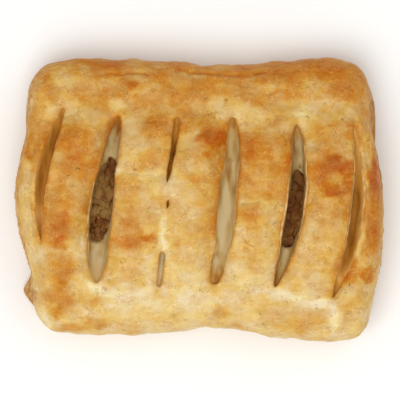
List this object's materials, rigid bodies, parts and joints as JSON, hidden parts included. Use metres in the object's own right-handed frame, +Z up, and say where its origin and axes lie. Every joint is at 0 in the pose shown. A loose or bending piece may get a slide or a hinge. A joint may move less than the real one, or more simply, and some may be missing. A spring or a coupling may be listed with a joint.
{
  "type": "filled puff pastry parcel",
  "caption": "Rectangular baked puff pastry parcel with rolled long sides, cut ends and slanting slits across its domed top that show a dark crumbly filling.",
  "frame": {"origin": "under the middle of the flat base, at the height of the surface it rests on", "axes": "+X along the parcel, across its slits; +Y across the parcel, towards the rolled side with the shallower waist; +Z up"},
  "size_m": [0.1211, 0.093, 0.0331],
  "materials": {
    "crust": "baked puff pastry dough, lightly glazed",
    "filling": "moist crumbly filling"
  },
  "bodies": {
    "root": {"crust": "crust", "filling": "filling"}
  },
  "joints": []
}
